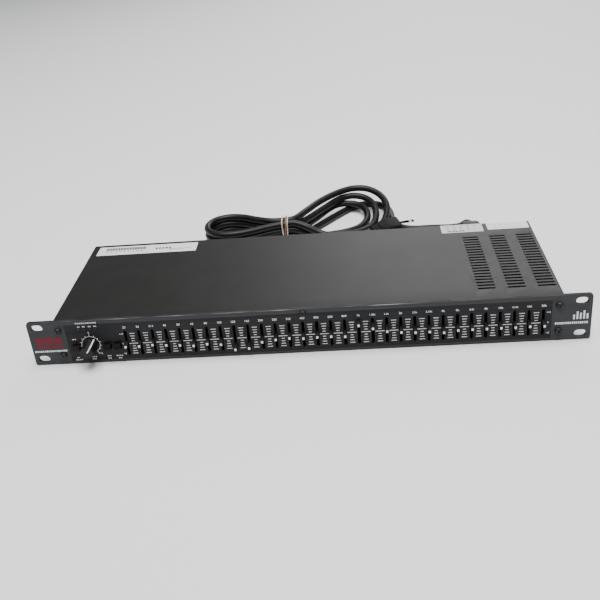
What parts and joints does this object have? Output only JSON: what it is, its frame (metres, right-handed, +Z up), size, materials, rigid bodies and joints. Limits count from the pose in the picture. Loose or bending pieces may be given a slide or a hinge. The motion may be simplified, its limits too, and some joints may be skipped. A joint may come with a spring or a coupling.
{
  "type": "graphic equalizer",
  "caption": "Rack-mount graphic equalizer, one unit high, with sliding band controls, gain knob, push buttons and a tied-up mains cord.",
  "frame": {"origin": "middle of the case's underside, on the surface that it stands on", "axes": "+X to the right along the front, +Y to the back, +Z up"},
  "size_m": [0.4826, 0.3257, 0.044],
  "materials": {
    "panel_paint": "satin charcoal paint, rubbed along the edges",
    "cover_paint": "semi-gloss black paint, fine texture",
    "zinc": "zinc-plated sheet",
    "screw_black": "black oxide",
    "black_plastic": "satin moulded",
    "button_plastic": "satin moulded, dark red-brown",
    "switch_plastic": "moulded",
    "lamp": "clear moulded lens, unlit",
    "circuit_board": "solder-resist coated",
    "core_steel": "varnished laminations",
    "steel": "plain",
    "cord_rubber": "satin black vinyl",
    "print_white": "screen print",
    "print_red": "screen print",
    "paper_label": "paper sticker",
    "band_rubber": "plain rubber band"
  },
  "bodies": {
    "chassis": {"chassis_tray": "zinc", "cord_connector": "cord_rubber", "cord_hank": "cord_rubber", "cord_lead": "cord_rubber", "cover_screw": "screw_black", "front_panel": "panel_paint", "gain_pot": "switch_plastic", "iec_inlet": "black_plastic", "level_meter": "lamp", "main_board": "circuit_board", "mains_plug": "cord_rubber", "mains_transformer": "core_steel", "panel_screw_1": "screw_black", "panel_screw_2": "screw_black", "panel_screw_3": "screw_black", "panel_screw_4": "screw_black", "rear_panel": "cover_paint", "slider_board": "circuit_board", "switch_board": "circuit_board", "top_cover": "cover_paint", "xlr_input": "black_plastic", "xlr_output": "black_plastic"},
    "slider_20": {"slider_lever_20": "black_plastic"},
    "slider_25": {"slider_lever_25": "black_plastic"},
    "slider_31_5": {"slider_lever_31_5": "black_plastic"},
    "slider_40": {"slider_lever_40": "black_plastic"},
    "slider_50": {"slider_lever_50": "black_plastic"},
    "slider_63": {"slider_lever_63": "black_plastic"},
    "slider_80": {"slider_lever_80": "black_plastic"},
    "slider_100": {"slider_lever_100": "black_plastic"},
    "slider_125": {"slider_lever_125": "black_plastic"},
    "slider_160": {"slider_lever_160": "black_plastic"},
    "slider_200": {"slider_lever_200": "black_plastic"},
    "slider_250": {"slider_lever_250": "black_plastic"},
    "slider_315": {"slider_lever_315": "black_plastic"},
    "slider_400": {"slider_lever_400": "black_plastic"},
    "slider_500": {"slider_lever_500": "black_plastic"},
    "slider_630": {"slider_lever_630": "black_plastic"},
    "slider_800": {"slider_lever_800": "black_plastic"},
    "slider_1k": {"slider_lever_1k": "black_plastic"},
    "slider_1k25": {"slider_lever_1k25": "black_plastic"},
    "slider_1k6": {"slider_lever_1k6": "black_plastic"},
    "slider_2k": {"slider_lever_2k": "black_plastic"},
    "slider_2k5": {"slider_lever_2k5": "black_plastic"},
    "slider_3k15": {"slider_lever_3k15": "black_plastic"},
    "slider_4k": {"slider_lever_4k": "black_plastic"},
    "slider_5k": {"slider_lever_5k": "black_plastic"},
    "slider_6k3": {"slider_lever_6k3": "black_plastic"},
    "slider_8k": {"slider_lever_8k": "black_plastic"},
    "slider_10k": {"slider_lever_10k": "black_plastic"},
    "slider_12k5": {"slider_lever_12k5": "black_plastic"},
    "slider_16k": {"slider_lever_16k": "black_plastic"},
    "slider_20k": {"slider_lever_20k": "black_plastic"},
    "gain": {"gain_knob": "black_plastic", "gain_shaft": "steel"},
    "bypass": {"bypass_button": "button_plastic"},
    "low_cut": {"low_cut_button": "black_plastic"},
    "range": {"range_button": "black_plastic"}
  },
  "joints": [
    {"name": "slider_20_travel", "type": "slide", "parent": "chassis", "child": "slider_20", "axis": [0, 0, 1], "range_m": [-0.01, 0.01]},
    {"name": "slider_25_travel", "type": "slide", "parent": "chassis", "child": "slider_25", "axis": [0, 0, 1], "range_m": [-0.01, 0.01]},
    {"name": "slider_31_5_travel", "type": "slide", "parent": "chassis", "child": "slider_31_5", "axis": [0, 0, 1], "range_m": [-0.0108, 0.0092]},
    {"name": "slider_40_travel", "type": "slide", "parent": "chassis", "child": "slider_40", "axis": [0, 0, 1], "range_m": [-0.0098, 0.0102]},
    {"name": "slider_50_travel", "type": "slide", "parent": "chassis", "child": "slider_50", "axis": [0, 0, 1], "range_m": [-0.0091, 0.0109]},
    {"name": "slider_63_travel", "type": "slide", "parent": "chassis", "child": "slider_63", "axis": [0, 0, 1], "range_m": [-0.0078, 0.0122]},
    {"name": "slider_80_travel", "type": "slide", "parent": "chassis", "child": "slider_80", "axis": [0, 0, 1], "range_m": [-0.009, 0.011]},
    {"name": "slider_100_travel", "type": "slide", "parent": "chassis", "child": "slider_100", "axis": [0, 0, 1], "range_m": [-0.0077, 0.0123]},
    {"name": "slider_125_travel", "type": "slide", "parent": "chassis", "child": "slider_125", "axis": [0, 0, 1], "range_m": [-0.0017, 0.0183]},
    {"name": "slider_160_travel", "type": "slide", "parent": "chassis", "child": "slider_160", "axis": [0, 0, 1], "range_m": [-0.0024, 0.0176]},
    {"name": "slider_200_travel", "type": "slide", "parent": "chassis", "child": "slider_200", "axis": [0, 0, 1], "range_m": [-0.0081, 0.0119]},
    {"name": "slider_250_travel", "type": "slide", "parent": "chassis", "child": "slider_250", "axis": [0, 0, 1], "range_m": [-0.0097, 0.0103]},
    {"name": "slider_315_travel", "type": "slide", "parent": "chassis", "child": "slider_315", "axis": [0, 0, 1], "range_m": [-0.0106, 0.0094]},
    {"name": "slider_400_travel", "type": "slide", "parent": "chassis", "child": "slider_400", "axis": [0, 0, 1], "range_m": [-0.0097, 0.0103]},
    {"name": "slider_500_travel", "type": "slide", "parent": "chassis", "child": "slider_500", "axis": [0, 0, 1], "range_m": [-0.0102, 0.0098]},
    {"name": "slider_630_travel", "type": "slide", "parent": "chassis", "child": "slider_630", "axis": [0, 0, 1], "range_m": [-0.0102, 0.0098]},
    {"name": "slider_800_travel", "type": "slide", "parent": "chassis", "child": "slider_800", "axis": [0, 0, 1], "range_m": [-0.0095, 0.0105]},
    {"name": "slider_1k_travel", "type": "slide", "parent": "chassis", "child": "slider_1k", "axis": [0, 0, 1], "range_m": [-0.0198, 0.0002]},
    {"name": "slider_1k25_travel", "type": "slide", "parent": "chassis", "child": "slider_1k25", "axis": [0, 0, 1], "range_m": [-0.016, 0.004]},
    {"name": "slider_1k6_travel", "type": "slide", "parent": "chassis", "child": "slider_1k6", "axis": [0, 0, 1], "range_m": [-0.0125, 0.0075]},
    {"name": "slider_2k_travel", "type": "slide", "parent": "chassis", "child": "slider_2k", "axis": [0, 0, 1], "range_m": [-0.0109, 0.0091]},
    {"name": "slider_2k5_travel", "type": "slide", "parent": "chassis", "child": "slider_2k5", "axis": [0, 0, 1], "range_m": [-0.01, 0.01]},
    {"name": "slider_3k15_travel", "type": "slide", "parent": "chassis", "child": "slider_3k15", "axis": [0, 0, 1], "range_m": [-0.01, 0.01]},
    {"name": "slider_4k_travel", "type": "slide", "parent": "chassis", "child": "slider_4k", "axis": [0, 0, 1], "range_m": [-0.0085, 0.0115]},
    {"name": "slider_5k_travel", "type": "slide", "parent": "chassis", "child": "slider_5k", "axis": [0, 0, 1], "range_m": [-0.01, 0.01]},
    {"name": "slider_6k3_travel", "type": "slide", "parent": "chassis", "child": "slider_6k3", "axis": [0, 0, 1], "range_m": [-0.0102, 0.0098]},
    {"name": "slider_8k_travel", "type": "slide", "parent": "chassis", "child": "slider_8k", "axis": [0, 0, 1], "range_m": [-0.0102, 0.0098]},
    {"name": "slider_10k_travel", "type": "slide", "parent": "chassis", "child": "slider_10k", "axis": [0, 0, 1], "range_m": [-0.0102, 0.0098]},
    {"name": "slider_12k5_travel", "type": "slide", "parent": "chassis", "child": "slider_12k5", "axis": [0, 0, 1], "range_m": [-0.01, 0.01]},
    {"name": "slider_16k_travel", "type": "slide", "parent": "chassis", "child": "slider_16k", "axis": [0, 0, 1], "range_m": [-0.0102, 0.0098]},
    {"name": "slider_20k_travel", "type": "slide", "parent": "chassis", "child": "slider_20k", "axis": [0, 0, 1], "range_m": [-0.01, 0.01]},
    {"name": "gain_turn", "type": "hinge", "parent": "chassis", "child": "gain", "pos_m": [-0.1878, -0.0743, 0.0193], "axis": [0, 1, 0], "range_deg": [-186, 114]},
    {"name": "bypass_press", "type": "slide", "parent": "chassis", "child": "bypass", "axis": [0, 1, 0], "range_m": [0, 0.003], "stiffness_N_per_m": 300},
    {"name": "low_cut_press", "type": "slide", "parent": "chassis", "child": "low_cut", "axis": [0, 1, 0], "range_m": [0, 0.003], "stiffness_N_per_m": 300},
    {"name": "range_press", "type": "slide", "parent": "chassis", "child": "range", "axis": [0, 1, 0], "range_m": [0, 0.003], "stiffness_N_per_m": 300}
  ]
}
